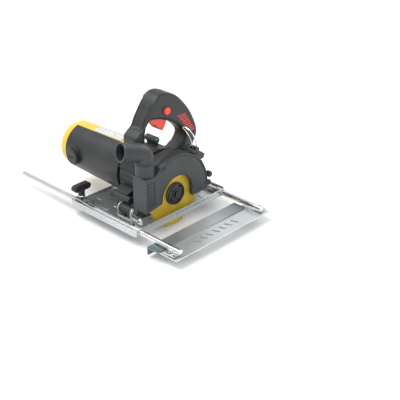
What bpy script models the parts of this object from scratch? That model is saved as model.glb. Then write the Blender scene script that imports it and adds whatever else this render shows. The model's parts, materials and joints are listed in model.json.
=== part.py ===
"""Wall chaser: a 150 mm toothed blade under a two-part guard, driven by a crosswise motor through one
gear pair, on a pressed steel shoe with a sliding side fence.

Dimensions are in millimetres and are measured from the blade's centre: +X runs along the motor axis
towards the fence, +Y along the cut towards the operator, +Z up. ASSEMBLY_AT places that point in the
object's own frame, whose origin is the middle of the base of its bounding box.
"""

import math

import bmesh
import bpy
from mathutils import Vector

MM = 0.001
GAP = 0.3

# Blade, spindle and gear pair
BLADE_R = 75.0
BLADE_T = 2.2
BLADE_TEETH = 48
TOOTH_DEPTH = 5.5
BLADE_BORE_R = 10.0
FLANGE_R = 25.0
SPINDLE_R = 8.0
MOTOR_Z = 22.0
GEAR_TEETH = 27
PINION_TEETH = 9
GEAR_MODULE = 2.0 * MOTOR_Z / (GEAR_TEETH + PINION_TEETH)
PRESSURE_ANGLE = math.radians(25.0)
BACKLASH = 0.5
GEAR_X = (-91.0, -77.0)

# Motor
MOTOR_X = (-317.0, -112.0)
HOUSING_R = (50.8, 56.6)
HOUSING_WALL = 3.0
COVER_T = 2.6
COVER_X0 = -292.0
COVER_ANGLES = (106.0, 292.0)
LABEL_X = (-240.0, -150.0)
LABEL_ANGLES = (60.0, 102.0)
BRUSH_X = -257.0
BRUSH_BOSS_R = 20.0
BRUSH_CAP_R = 18.0
BRUSH_X_HALF = 5.0
BRUSH_Z_HALF = 3.2
BRUSH_FACE_Y = 61.0
COMMUTATOR_R = 16.0
CORE_R = 26.0
SHAFT_R = 5.0
STATOR_X = (-236.0, -160.0)

# Gearbox
GEARBOX_X = (-111.7, -28.3)
GEARBOX_R = 57.0
GEARBOX_WALL = 4.0
PLATE_X = (-108.0, -95.0)
SMALL_BEARING_R = 10.0
MOTOR_BEARING_R = 11.0
SPINDLE_BEARING_R = 16.0
SPINDLE_BEARING_X = (-45.0, -34.0)

# Guard and dust duct
GUARD_R = 90.0
GUARD_WALL = 2.6
GUARD_BACK_X = (-27.0, -1.0)
GUARD_FRONT_X = (-0.7, 12.0)
GUARD_BOTTOM_Z = -18.0
GUARD_OPENING_R = 44.0
DUCT_Y0 = -90.0
DUCT_TOP_Z = 65.0
DUCT_BOTTOM_Z = -13.0
GUARD_SCREWS = ((-38.0, 74.0), (56.0, 76.5), (94.5, -5.0))
BOSS_R = 5.5
PIPE_XY = (-10.5, -70.5)
PIPE_R = 20.2
PIPE_WALL = 2.5
SWIVEL_Z = 92.0
OUTLET_AZIMUTH = math.radians(256.5)
OUTLET_TILT = math.radians(15.0)
OUTLET_REACH = 41.0
ELBOW_BEND_R = 20.5
ELBOW_RISE = 4.5
SPIGOT_BORE_R = 14.0
MOUTH_R = 19.6

# Handle, cut along the plane HANDLE_X
HANDLE_X = -70.0
HANDLE_HALF_T = 20.0
HANDLE_ROUND = 6.0
HANDLE_OUTER = (
    (-54, 66), (-57, 84), (-58, 120), (-50, 131), (-36, 141), (-30, 153), (-20, 168), (-5, 188),
    (8, 200), (23, 204), (40, 200), (62, 188), (80, 172), (101, 146), (116, 118), (124, 94),
    (122, 78), (112, 62),
)
HANDLE_INNER = (
    (60, 62), (80, 72), (90, 88), (80, 106), (54, 128), (22, 144), (-8, 151), (-19, 147), (-28, 130),
    (-30, 84), (-24, 75),
)
TRIGGER_PIVOT = (-2.0, 158.0)
TRIGGER_OUTLINE = (
    (-8, 160), (-11, 149), (-4, 141), (8, 134.5), (17, 123), (22, 118.5), (27, 119), (33, 127),
    (37, 136), (37, 146), (26, 151), (8, 158),
)
TRIGGER_HALF_T = 13.0
BUTTON_AT = (31.0, 162.0)
BUTTON_R = 8.2
BUTTON_STEM_R = 4.4
BUTTON_PROUD = 5.5
VENT_TOP = (63.5, 89.5, 139.0)
VENT_STEP = (4.4, 3.4, -5.25)
VENT_HEIGHT = 2.6
VENT_COUNT = 9

# Depth hinge, its bracket, and the lock at the far end
HINGE = (-90.0, -22.5)
HINGE_R = 9.0
PIN_R = 4.0
EAR_X = (-66.0, -27.4)
EAR_R = (11.8, 8.8)
EAR_T = 2.5
LOCK_AT = (104.0, 9.0)
KNOB_X = (-3.0, 9.0)
QUADRANT_X = (-35.0, -32.0)
QUADRANT_SWEEP = (-9.0, 16.5)
SPRING_TUBE_AT = (-80.0, -6.0)
SPRING_TUBE_R = 7.2
TIE_AT = (24.0, 90.0)
BAIL_AT = (-14.0, 77.0, 73.0)
BAIL_WIRE_R = 1.25
BAIL_HALF = 6.8
BAIL_LEG = (
    (0, 1.2, 6.8), (-0.5, 9, 6.8), (-3.6, 18.5, 6.4), (-10.5, 27.5, 5.8), (-19.5, 34, 5.0), (-29.2, 37.8, 4.2),
)

# Shoe
SHOE_X = (-195.0, 14.0)
SHOE_Y = (-124.0, 148.0)
SOLE_Z = -53.0
SHEET = 2.0
RIM_H = 15.0
LIP_H = 4.0
SLOT_X = (-33.0, 8.0)
SLOT_Y = (-97.0, 96.0)
SHOE_CORNER = 9.0

# Guide rods and fence
ROD_R = 6.0
ROD_Y = (-110.0, 136.0)
ROD_Z = -45.0
ROD_X = (-380.0, 129.0)
CLAMP_X = (-186.0, -158.0)
KNOB_HALF = 22.0
GUIDE_X = (0.0, 13.5)
FENCE_X = (58.0, 136.0)
FENCE_ANGLE_W = 32.0
FENCE_FLANGE_H = 18.0
FENCE_T = 2.2
ANGLE_Y = (-134.0, 128.0)
PLATE_Y = (-129.0, 155.0)

ASSEMBLY_AT = Vector(
    (-(ROD_X[0] + FENCE_X[1]) / 2, -(ANGLE_Y[0] + ROD_Y[1] + KNOB_HALF) / 2, BLADE_R)
) * MM
BLADE_CENTRE = tuple(ASSEMBLY_AT)

FINISHES = {
    "black_plastic": ((0.060, 0.063, 0.065), 0.55, 0.0),
    "guard_plastic": ((0.078, 0.088, 0.090), 0.50, 0.0),
    "soft_black": ((0.030, 0.030, 0.032), 0.65, 0.0),
    "yellow_plastic": ((0.76, 0.56, 0.06), 0.40, 0.0),
    "red_plastic": ((0.85, 0.09, 0.05), 0.40, 0.0),
    "label": ((0.82, 0.82, 0.80), 0.45, 0.0),
    "blade_yellow": ((0.58, 0.41, 0.05), 0.38, 0.2),
    "zinc_steel": ((0.62, 0.64, 0.65), 0.32, 1.0),
    "bright_steel": ((0.80, 0.80, 0.80), 0.16, 1.0),
    "dark_steel": ((0.10, 0.10, 0.11), 0.40, 0.9),
    "laminated_steel": ((0.35, 0.34, 0.33), 0.50, 1.0),
    "copper": ((0.72, 0.36, 0.20), 0.35, 1.0),
    "carbon": ((0.03, 0.03, 0.03), 0.70, 0.0),
}


def clear_scene():
    for obj in list(bpy.data.objects):
        bpy.data.objects.remove(obj, do_unlink=True)


def finish(name):
    """The Principled material of one finish, made on first use."""
    if name in bpy.data.materials:
        return bpy.data.materials[name]
    colour, roughness, metallic = FINISHES[name]
    material = bpy.data.materials.new(name)
    material.use_nodes = True
    shader = material.node_tree.nodes["Principled BSDF"]
    shader.inputs["Base Color"].default_value = (*colour, 1.0)
    shader.inputs["Roughness"].default_value = roughness
    shader.inputs["Metallic"].default_value = metallic
    material.diffuse_color = (*colour, 1.0)
    return material


def assembly_empty():
    empty = bpy.data.objects.get("assembly")
    if empty is None:
        empty = bpy.data.objects.new("assembly", None)
        bpy.context.scene.collection.objects.link(empty)
        empty.location = ASSEMBLY_AT
    return empty


def add(name, bm, material=None, pivot=(0, 0, 0)):
    """Makes an object of a mesh drawn in millimetres from the blade's centre, with its origin at pivot."""
    bmesh.ops.recalc_face_normals(bm, faces=bm.faces)
    bmesh.ops.translate(bm, verts=bm.verts, vec=-Vector(pivot))
    bmesh.ops.scale(bm, verts=bm.verts, vec=(MM, MM, MM))
    mesh = bpy.data.meshes.new(name)
    bm.to_mesh(mesh)
    bm.free()
    obj = bpy.data.objects.new(name, mesh)
    bpy.context.scene.collection.objects.link(obj)
    obj.parent = assembly_empty()
    obj.location = Vector(pivot) * MM
    if material:
        obj.data.materials.append(finish(material))
        mesh.shade_smooth()
        mesh.set_sharp_from_angle(angle=math.radians(35))
    return obj


def helper(obj):
    obj.hide_render = True
    obj.display_type = "WIRE"
    return obj


def combine(obj, operation, *tools):
    """Adds one exact Boolean for each tool, which becomes a hidden helper."""
    for tool in tools:
        helper(tool)
        modifier = obj.modifiers.new(operation.lower() + "_" + tool.name, "BOOLEAN")
        modifier.operation = operation
        modifier.object = tool
        modifier.solver = "EXACT"
    return obj


def cut(obj, *tools):
    return combine(obj, "DIFFERENCE", *tools)


def fuse(obj, *tools):
    return combine(obj, "UNION", *tools)


AXES = {
    "X": lambda a, u, v: (a, u, v),
    "Y": lambda a, u, v: (u, a, v),
    "Z": lambda a, u, v: (u, v, a),
}


def prism(outline, axis, low, high):
    """An outline in the plane across the axis, extruded from low to high."""
    at = AXES[axis]
    bm = bmesh.new()
    rings = [[bm.verts.new(at(level, u, v)) for u, v in outline] for level in (low, high)]
    bm.faces.new(rings[0])
    bm.faces.new(rings[1][::-1])
    count = len(outline)
    for i in range(count):
        j = (i + 1) % count
        bm.faces.new((rings[0][i], rings[0][j], rings[1][j], rings[1][i]))
    return bm


def box(low, high):
    (x0, y0, z0), (x1, y1, z1) = low, high
    return prism(((x0, y0), (x1, y0), (x1, y1), (x0, y1)), "Z", z0, z1)


def circle(radius, steps, centre=(0, 0), start=0.0):
    turn = 2 * math.pi / steps
    return [
        (centre[0] + radius * math.cos(start + i * turn), centre[1] + radius * math.sin(start + i * turn))
        for i in range(steps)
    ]


def cylinder(axis, centre, radius, low, high, steps=24):
    return prism(circle(radius, steps, centre), axis, low, high)


def arc(radius, start, end, steps, centre=(0, 0)):
    """Points on a circle from one angle to another, in degrees."""
    angles = (math.radians(start + (end - start) * i / steps) for i in range(steps + 1))
    return [(centre[0] + radius * math.cos(a), centre[1] + radius * math.sin(a)) for a in angles]


def rounded_rectangle(low, high, radius, steps=3):
    (u0, v0), (u1, v1) = low, high
    corners = (
        ((u1 - radius, v1 - radius), 0),
        ((u0 + radius, v1 - radius), 90),
        ((u0 + radius, v0 + radius), 180),
        ((u1 - radius, v0 + radius), 270),
    )
    return [p for centre, start in corners for p in arc(radius, start, start + 90, steps, centre)]


def turned(axis, centre, profile, steps=32, span=(0.0, 360.0)):
    """A closed profile of (level, radius) points turned about an axis, all the way or over a span."""
    at = AXES[axis]
    whole = span[1] - span[0] >= 360.0
    count = steps if whole else steps + 1
    angles = [math.radians(span[0] + (span[1] - span[0]) * i / steps) for i in range(count)]
    bm = bmesh.new()
    rings = []
    for level, radius in profile:
        if radius == 0:
            rings.append([bm.verts.new(at(level, *centre))])
        else:
            ring = [(radius * math.cos(a) + centre[0], radius * math.sin(a) + centre[1]) for a in angles]
            rings.append([bm.verts.new(at(level, *point)) for point in ring])
    for here, there in zip(rings, rings[1:] + rings[:1]):
        if len(here) == len(there) == 1:
            continue
        for i in range(steps):
            j = (i + 1) % count
            corners = [here[i % len(here)], here[j % len(here)], there[j % len(there)], there[i % len(there)]]
            bm.faces.new(list(dict.fromkeys(corners)))
    if not whole:
        bm.faces.new([ring[0] for ring in rings])
        bm.faces.new([ring[-1] for ring in rings][::-1])
    return bm


def tube(path, radii, steps, caps=True):
    """Rings of the given radii square to a path of points, joined into one closed body."""
    bm = bmesh.new()
    points = [Vector(p) for p in path]
    rings = []
    side = None
    for i, point in enumerate(points):
        ahead = (points[min(i + 1, len(points) - 1)] - points[max(i - 1, 0)]).normalized()
        if side is None:
            side = ahead.orthogonal().normalized()
        side = (side - ahead * side.dot(ahead)).normalized()
        other = ahead.cross(side)
        rings.append(
            [
                bm.verts.new(point + radii[i] * (math.cos(a) * side + math.sin(a) * other))
                for a in (2 * math.pi * k / steps for k in range(steps))
            ]
        )
    for here, there in zip(rings, rings[1:]):
        for k in range(steps):
            j = (k + 1) % steps
            bm.faces.new((here[k], here[j], there[j], there[k]))
    if caps:
        bm.faces.new(rings[0][::-1])
        bm.faces.new(rings[-1])
    return bm


def rounded_slab(outline, axis, inner, outer, radius, steps=2):
    """A slab whose outer face is inset in steps, so that its rim is rounded."""
    sign = 1 if outer > inner else -1
    bm = prism(outline, axis, inner, outer - sign * radius)
    level = outer - sign * radius
    index = "XYZ".index(axis)
    cap = max(bm.faces, key=lambda face: sign * face.calc_center_median()[index])
    bmesh.ops.recalc_face_normals(bm, faces=bm.faces)
    for step in range(1, steps + 1):
        before, now = ((s / steps) * math.pi / 2 for s in (step - 1, step))
        inset = radius * (math.cos(before) - math.cos(now))
        rise = radius * (math.sin(now) - math.sin(before))
        bmesh.ops.inset_region(bm, faces=[cap], thickness=inset, depth=0.0, use_even_offset=True)
        for vert in cap.verts:
            vert.co[index] += sign * rise
        level += sign * rise
    return bm


def taper(x, ends=HOUSING_R):
    """The housing's radius at x, for the radii at its two ends."""
    share = (x - MOTOR_X[0]) / (MOTOR_X[1] - MOTOR_X[0])
    return ends[0] + (ends[1] - ends[0]) * share


def gear_outline(teeth, centre, first_tooth):
    """An involute gear's outline with thinned teeth, so that the pair turns with backlash."""
    pitch_r = GEAR_MODULE * teeth / 2
    base_r = pitch_r * math.cos(PRESSURE_ANGLE)
    root_r = pitch_r - 1.15 * GEAR_MODULE
    tip_r = pitch_r + 0.78 * GEAR_MODULE
    half_at_pitch = math.pi / (2 * teeth) - BACKLASH / (4 * pitch_r)

    def involute(radius):
        angle = math.acos(min(1.0, base_r / radius))
        return math.tan(angle) - angle

    def half_width(radius):
        return half_at_pitch + involute(pitch_r) - involute(max(radius, base_r))

    levels = [root_r, max(root_r + 0.2, base_r), (base_r + pitch_r) / 2 + 0.25, tip_r - 0.6, tip_r]
    flank = [(radius, half_width(radius)) for radius in levels]
    points = []
    for tooth in range(teeth):
        middle = first_tooth + 2 * math.pi * tooth / teeth
        for radius, half in flank:
            points.append((radius, middle - half))
        for radius, half in reversed(flank):
            points.append((radius, middle + half))
    return [(centre[0] + r * math.cos(a), centre[1] + r * math.sin(a)) for r, a in points]


def blade_outline():
    """Hook teeth that lean the way the blade turns, one of them straight down."""
    pitch = 2 * math.pi / BLADE_TEETH
    root = BLADE_R - TOOTH_DEPTH
    shape = ((BLADE_R, 0.0), (BLADE_R - 1.2, 0.30), (root, 0.78), (root + 1.2, 0.98))
    points = []
    for tooth in range(BLADE_TEETH):
        for radius, share in shape:
            angle = -math.pi / 2 + (tooth + share) * pitch
            points.append((radius * math.cos(angle), radius * math.sin(angle)))
    return points


def make_spindle():
    profile = (
        (-103.0, 0), (-103.0, 4.0), (-95.0, 4.0), (-95.0, SPINDLE_R), (-33.0, SPINDLE_R),
        (-33.0, 10.5), (-8.0, 10.5), (-8.0, FLANGE_R), (-BLADE_T / 2 - GAP, FLANGE_R),
        (-BLADE_T / 2 - GAP, 0),
    )
    add("spindle", turned("X", (0, 0), profile, 32), "bright_steel")
    gear = add("drive_gear", prism(gear_outline(GEAR_TEETH, (0, 0), math.pi / 2), "X", *GEAR_X), "dark_steel")
    cut(gear, add("gear_bore", cylinder("X", (0, 0), SPINDLE_R + GAP, GEAR_X[0] - 1, GEAR_X[1] + 1)))


def make_blade():
    blade = add("blade", prism(blade_outline(), "X", -BLADE_T / 2, BLADE_T / 2), "blade_yellow")
    cut(blade, add("blade_bore", cylinder("X", (0, 0), BLADE_BORE_R, -3, 3, 24)))
    face = BLADE_T / 2 + GAP
    profile = (
        (face, 5.0), (face, FLANGE_R), (face + 3.6, FLANGE_R), (face + 4.6, FLANGE_R - 1.5),
        (face + 4.6, 17.0), (face + 6.4, 15.0), (face + 6.4, 5.0),
    )
    flange = add("outer_flange", turned("X", (0, 0), profile, 36), "dark_steel")
    for i in range(4):
        angle = math.pi / 4 + i * math.pi / 2
        hole = circle(2.6, 10, (21 * math.cos(angle), 21 * math.sin(angle)))
        cut(flange, add(f"flange_hole_{i}", prism(hole, "X", face + 2, face + 9)))
    head = face + 6.4 + GAP
    bolt = add("blade_bolt", prism(circle(8.0, 6), "X", head, head + 5.0), "dark_steel")
    fuse(bolt, add("bolt_shank", cylinder("X", (0, 0), 4.4, BLADE_T / 2 + GAP * 0.2, head + 1, 16)))


def make_armature():
    axis = (0, MOTOR_Z)
    pivot = (0, 0, MOTOR_Z)
    add("armature_shaft", cylinder("X", axis, SHAFT_R, -312, -74, 20), "bright_steel", pivot)

    def ring(name, x, radius, material, steps):
        profile = ((x[0], SHAFT_R + GAP), (x[0], radius), (x[1], radius), (x[1], SHAFT_R + GAP))
        return add(name, turned("X", axis, profile, steps), material, pivot)

    ring("commutator", (-270, -244), COMMUTATOR_R, "copper", 24)
    core = ring("armature_core", STATOR_X, CORE_R, "laminated_steel", 36)
    for i in range(12):
        angle = math.pi * i / 6
        slot = circle(2.0, 6, (CORE_R * math.cos(angle), MOTOR_Z + CORE_R * math.sin(angle)))
        cut(core, add(f"core_slot_{i}", prism(slot, "X", STATOR_X[0] - 1, STATOR_X[1] + 1), None, pivot))
    fan = ring("cooling_fan", (-150, -146), 42.0, "black_plastic", 36)
    for i in range(9):
        angle = 2 * math.pi * i / 9
        spoke = [(16, -1), (40, 3), (40, 5), (16, 1)]
        outline = [
            (u * math.cos(angle) - v * math.sin(angle), MOTOR_Z + u * math.sin(angle) + v * math.cos(angle))
            for u, v in spoke
        ]
        fuse(fan, add(f"fan_vane_{i}", prism(outline, "X", -147, -136), None, pivot))
    outline = gear_outline(PINION_TEETH, axis, -math.pi / 2 + math.pi / PINION_TEETH)
    pinion = add("pinion", prism(outline, "X", GEAR_X[0] - 1, GEAR_X[1] + 1), "dark_steel", pivot)
    cut(pinion, add("pinion_bore", cylinder("X", axis, 2.6, GEAR_X[0] - 3, GEAR_X[1] + 3, 16), None, pivot))
    shaft = bpy.data.objects["armature_shaft"]
    neck = ((GEAR_X[0] - 1.5, 2.3), (GEAR_X[0] - 1.5, 9), (-73, 9), (-73, 2.3))
    cut(shaft, add("shaft_neck", turned("X", axis, neck, 20), None, pivot))


def brush_way():
    """The square guide that both brushes slide in, right across the motor."""
    half_x, half_z = BRUSH_X_HALF + GAP, BRUSH_Z_HALF + GAP
    return box((BRUSH_X - half_x, -70, MOTOR_Z - half_z), (BRUSH_X + half_x, 70, MOTOR_Z + half_z))


def make_motor_housing():
    """A tapered yellow tube with its closed rear end, bored for the two brush holders."""
    x0, x1 = MOTOR_X
    axis = (0, MOTOR_Z)
    outer0, outer1 = HOUSING_R
    profile = (
        (x0, 0), (x0, outer0 - 9), (x0 + 2.4, outer0 - 3.2), (x0 + 8, outer0), (x1, outer1),
        (x1, outer1 - HOUSING_WALL), (x0 + 12, outer0 - HOUSING_WALL), (x0 + 4, 16), (x0 + 4, 0),
    )
    housing = add("motor_housing", turned("X", axis, profile, 48), "yellow_plastic")
    boss = cylinder("Y", (BRUSH_X, MOTOR_Z), BRUSH_BOSS_R, 46, BRUSH_FACE_Y, 28)
    fuse(housing, add("far_brush_boss", boss))
    cut(housing, add("brush_way", brush_way()))
    bore = 11.0 + GAP
    ring = ((x0 + 3, 6.0), (x0 + 3, 13.0), (x0 + 12, 13.0), (x0 + 12, bore), (x0 + 5, bore), (x0 + 5, 6.0))
    fuse(housing, add("rear_bearing_seat", turned("X", axis, ring, 24)))


def make_side_cover():
    """The black half shell over the near side, from the top seam round to underneath."""
    axis = (0, MOTOR_Z)
    x0, x1 = COVER_X0, MOTOR_X[1]
    inner0, inner1 = taper(x0) + GAP, taper(x1) + GAP
    profile = (
        (x0, inner0), (x0, inner0 + COVER_T - 0.8), (x0 + 1.2, inner0 + COVER_T),
        (x1, inner1 + COVER_T), (x1, inner1),
    )
    cover = add("side_cover", turned("X", axis, profile, 26, COVER_ANGLES), "black_plastic")
    face = -BRUSH_FACE_Y
    fuse(cover, add("near_brush_boss", cylinder("Y", (BRUSH_X, MOTOR_Z), BRUSH_BOSS_R, face, -46, 28)))
    keep_out = turned("X", axis, ((x0 - 30, 0), (x0 - 30, taper(x0 - 30) + GAP), (x1, inner1), (x1, 0)), 48)
    cut(cover, add("cover_core", keep_out))
    cut(cover, add("cover_brush_way", brush_way()))


def make_label():
    x0, x1 = LABEL_X
    r0, r1 = taper(x0) + GAP, taper(x1) + GAP
    profile = ((x0, r0), (x0, r0 + 0.7), (x1, r1 + 0.7), (x1, r1))
    add("rating_label", turned("X", (0, MOTOR_Z), profile, 10, LABEL_ANGLES), "label")


def make_brushes():
    for side, word in ((-1, "near"), (1, "far")):
        tip = side * (COMMUTATOR_R + GAP)
        low, high = sorted((tip, side * (BRUSH_FACE_Y - 6)))
        ends = (
            (BRUSH_X - BRUSH_X_HALF, low, MOTOR_Z - BRUSH_Z_HALF),
            (BRUSH_X + BRUSH_X_HALF, high, MOTOR_Z + BRUSH_Z_HALF),
        )
        add(f"carbon_brush_{word}", box(*ends), "carbon")
        face = side * (BRUSH_FACE_Y + GAP)
        rim, crown = face + side * 3.4, face + side * 4.6
        profile = ((face, 0), (face, BRUSH_CAP_R), (rim, BRUSH_CAP_R), (crown, 16.6), (crown, 0))
        cap = add(f"brush_cap_{word}", turned("Y", (BRUSH_X, MOTOR_Z), profile, 32), "black_plastic")
        low, high = sorted((face + side * 2.6, face + side * 9))
        slot = box((BRUSH_X - 8, low, MOTOR_Z - 1.3), (BRUSH_X + 8, high, MOTOR_Z + 1.3))
        cut(cap, add(f"cap_slot_{word}", slot))


def make_stator():
    x0, x1 = STATOR_X
    outer = taper(x0) - HOUSING_WALL - 0.6
    profile = ((x0, CORE_R + 1.0), (x0, outer), (x1, outer), (x1, CORE_R + 1.0))
    add("stator", turned("X", (0, MOTOR_Z), profile, 36), "laminated_steel")


def bearing(name, x, centre, bore_r, outer_r):
    profile = (
        (x[0], bore_r), (x[0], outer_r), (x[1], outer_r), (x[1], bore_r),
    )
    add(name, turned("X", centre, profile, 24), "bright_steel")


def make_bearings():
    x0 = MOTOR_X[0]
    bearing("armature_bearing_rear", (x0 + 5.3, x0 + 12), (0, MOTOR_Z), SHAFT_R + GAP, 11.0)
    bearing("armature_bearing_front", (-105, -98), (0, MOTOR_Z), SHAFT_R + GAP, MOTOR_BEARING_R - GAP)
    bearing("spindle_bearing_rear", (-105, -98), (0, 0), 4.0 + GAP, SMALL_BEARING_R - GAP)
    bearing("spindle_bearing_front", SPINDLE_BEARING_X, (0, 0), SPINDLE_R + GAP, SPINDLE_BEARING_R - GAP)
    plate = add(
        "bearing_plate",
        cylinder("X", (0, MOTOR_Z), GEARBOX_R - GEARBOX_WALL - GAP, *PLATE_X, 40),
        "bright_steel",
    )
    cut(
        plate,
        add("motor_bearing_seat", cylinder("X", (0, MOTOR_Z), MOTOR_BEARING_R, -105.3, -90, 24)),
        add("motor_shaft_hole", cylinder("X", (0, MOTOR_Z), SHAFT_R + 1, -115, -100, 20)),
        add("spindle_bearing_seat", cylinder("X", (0, 0), SMALL_BEARING_R, -105.3, -90, 24)),
    )


def make_gearbox():
    """One casting: the round case, the hinge barrel and spring tube at the front, the lock arm behind."""
    x0, x1 = GEARBOX_X
    axis = (0, MOTOR_Z)
    inner = GEARBOX_R - GEARBOX_WALL
    profile = (
        (x0, 0), (x0, GEARBOX_R), (x1 - 10, GEARBOX_R), (x1 - 3, GEARBOX_R - 3), (x1, GEARBOX_R - 8), (x1, 0),
    )
    case = add("gearbox_housing", turned("X", axis, profile, 44), "black_plastic")
    barrel = cylinder("X", HINGE, HINGE_R, EAR_X[0] + EAR_T + 0.5, EAR_X[1] - EAR_T - 0.5, 24)
    arm = [(-88, -30), (-86, -15), (-40, 4), (-32, -16), (-44, -26)]
    spring = cylinder("X", SPRING_TUBE_AT, SPRING_TUBE_R, -101, -46, 20)
    spring_web = [(-80, -11), (-80, 0), (-38, 12), (-38, -8)]
    fuse(
        case,
        add("hinge_barrel", barrel),
        add("hinge_arm", prism(arm, "X", -60, -34)),
        add("spring_tube", spring),
        add("spring_web", prism(spring_web, "X", -97, -62)),
    )
    lock_arm = [(40, -6), (LOCK_AT[0] + 4, -3), (LOCK_AT[0] + 11, 9), (LOCK_AT[0] + 4, 21), (40, 34)]
    rear = [(20, 40), (108, 24), (112, 61.7), (60, 61.7), (40, 61.7), (24, 66)]
    fuse(
        case,
        add("lock_arm", prism(lock_arm, "X", -62, -37)),
        add("rear_bridge", prism(rear, "X", -88, -52)),
    )
    seat_x = SPINDLE_BEARING_X[1] + GAP
    core = ((x0 - 1, 0), (x0 - 1, inner), (x1 - 24, inner), (x1 - 18, inner - 6), (x1 - 18, 0))
    tie_boss = ((-104, 2.2 + GAP), (-104, 7.4), (-73, 7.4), (-72, 6.4), (-72, 2.2 + GAP))
    saddle = [(-22, 62), (-22, 81), (8, 83), (36, 76.5), (57, 61), (40, 50)]
    fuse(
        case,
        add("handle_saddle", prism(saddle, "X", -92, -48)),
        add("tie_foot", box((-100, TIE_AT[0] - 5, 72), (-74, TIE_AT[0] + 5, TIE_AT[1] - 4))),
        add("tie_boss", turned("X", TIE_AT, tie_boss, 18)),
    )
    cut(
        case,
        add("case_core", turned("X", axis, core, 44)),
        add("front_bearing_seat", cylinder("X", (0, 0), SPINDLE_BEARING_R, -60, seat_x, 28)),
        add("hinge_bore", cylinder("X", HINGE, PIN_R + GAP, -90, -20, 20)),
        add("lock_bore", cylinder("X", LOCK_AT, 3.0 + GAP, -55, -30, 16)),
        add("exhaust_slot", box((-113, -66, 2), (-105.5, -40, 42))),
        add("spindle_hole", cylinder("X", (0, 0), SPINDLE_R + 3, -60, -20, 24)),
    )


def guard_outline(radius, wall, lowest, front_lowest):
    """The guard's side view: a round hood that runs into the square dust duct at its front."""
    y0 = DUCT_Y0 + wall
    top = DUCT_TOP_Z - wall
    bottom_angle = math.degrees(math.asin(lowest / radius))
    meet_angle = 180 - math.degrees(math.asin(top / radius))
    hood = arc(radius, bottom_angle, meet_angle, 26)
    return hood + [(y0, top), (y0, front_lowest), (-48, front_lowest + 8 if wall == 0 else front_lowest)]


def make_guard():
    outer = guard_outline(GUARD_R, 0, GUARD_BOTTOM_Z, DUCT_BOTTOM_Z)
    outer[-1] = (-46, DUCT_BOTTOM_Z + 8)
    outer.append((-40, GUARD_BOTTOM_Z + 13))
    outer.append((40, GUARD_BOTTOM_Z))
    inner = guard_outline(GUARD_R - GUARD_WALL, GUARD_WALL, -60, -60)
    inner[-1] = (-46, -60)
    back = add("guard_back", prism(outer, "X", *GUARD_BACK_X), "guard_plastic")
    front = add("guard_front", prism(outer, "X", *GUARD_FRONT_X), "guard_plastic")
    x_back, x_front = GUARD_BACK_X[0] + GUARD_WALL, GUARD_FRONT_X[1] - GUARD_WALL
    cut(
        back,
        add("back_cavity", prism(inner, "X", x_back, 5)),
        add("back_spindle_hole", cylinder("X", (0, 0), 15, -40, -10, 28)),
    )
    opening = arc(GUARD_OPENING_R, 0, 180, 20) + [(-50, -70), (GUARD_OPENING_R - 2, -70)]
    lip = arc(GUARD_OPENING_R + 2.4, 0, 180, 20) + [(-48.5, DUCT_BOTTOM_Z + 9), (44, GUARD_BOTTOM_Z + 0.5)]
    cut(front, add("front_cavity", prism(inner, "X", -5, x_front)))
    fuse(front, add("opening_lip", prism(lip, "X", 4, GUARD_FRONT_X[1])))
    cut(front, add("front_opening", prism(opening, "X", -5, 20)))
    land = [(-60, 61), (-46, 61), (-46, 77), (-60, 66.8)]
    fuse(back, add("back_land", prism(land, "X", GUARD_BACK_X[0] + 1, GUARD_BACK_X[1])))
    fuse(front, add("front_land", prism(land, "X", GUARD_FRONT_X[0], GUARD_FRONT_X[1] - 1)))
    for i, at in enumerate(GUARD_SCREWS):
        fuse(back, add(f"back_boss_{i}", cylinder("X", at, BOSS_R, GUARD_BACK_X[0], GUARD_BACK_X[1], 16)))
        fuse(front, add(f"front_boss_{i}", cylinder("X", at, BOSS_R, GUARD_FRONT_X[0], GUARD_FRONT_X[1], 16)))
    for half, word in ((back, "back"), (front, "front")):
        cut(half, add(f"{word}_pipe_seat", cylinder("Z", PIPE_XY, PIPE_R + GAP, DUCT_TOP_Z, 110, 32)))
    pipe_hole = cylinder("Z", PIPE_XY, SPIGOT_BORE_R, 50, 80, 28)
    cut(back, add("back_pipe_hole", pipe_hole))
    cut(front, add("front_pipe_hole", cylinder("Z", PIPE_XY, SPIGOT_BORE_R, 50, 80, 28)))
    for i, at in enumerate(GUARD_SCREWS):
        cut(back, add(f"back_screw_hole_{i}", cylinder("X", at, 1.9 + GAP, -16, 5, 10)))
        cut(front, add(f"front_screw_hole_{i}", cylinder("X", at, 1.9 + GAP, -5, 20, 10)))
        x = GUARD_FRONT_X[1] + GAP
        screw = add(f"guard_screw_{i + 1}", cylinder("X", at, 3.8, x, x + 2.4, 16), "bright_steel")
        fuse(screw, add(f"screw_shank_{i}", cylinder("X", at, 1.9, -14, x + 1, 10)))


def make_dust_spigot():
    z0 = DUCT_TOP_Z + GAP
    inner = PIPE_R - PIPE_WALL
    profile = (
        (z0, inner), (z0, PIPE_R), (SWIVEL_Z - 1, PIPE_R), (SWIVEL_Z, PIPE_R - 0.8), (SWIVEL_Z, inner),
    )
    add("dust_spigot", turned("Z", PIPE_XY, profile, 32), "guard_plastic")


def elbow_path():
    """From the swivel up, round the bend and along the outlet, which rises a little."""
    heading = Vector((math.cos(OUTLET_AZIMUTH), math.sin(OUTLET_AZIMUTH), 0))
    up = Vector((0, 0, 1))
    start = Vector((*PIPE_XY, SWIVEL_Z + GAP))
    centre = start + heading * ELBOW_BEND_R + up * ELBOW_RISE
    bend = math.pi / 2 - OUTLET_TILT
    path = [start]
    steps = 6
    for i in range(steps + 1):
        angle = bend * i / steps
        path.append(centre - heading * ELBOW_BEND_R * math.cos(angle) + up * ELBOW_BEND_R * math.sin(angle))
    along = heading * math.cos(OUTLET_TILT) + up * math.sin(OUTLET_TILT)
    path.append(path[-1] + along * (OUTLET_REACH - 16))
    path.append(path[-1] + along * 16)
    return path, along


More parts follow.
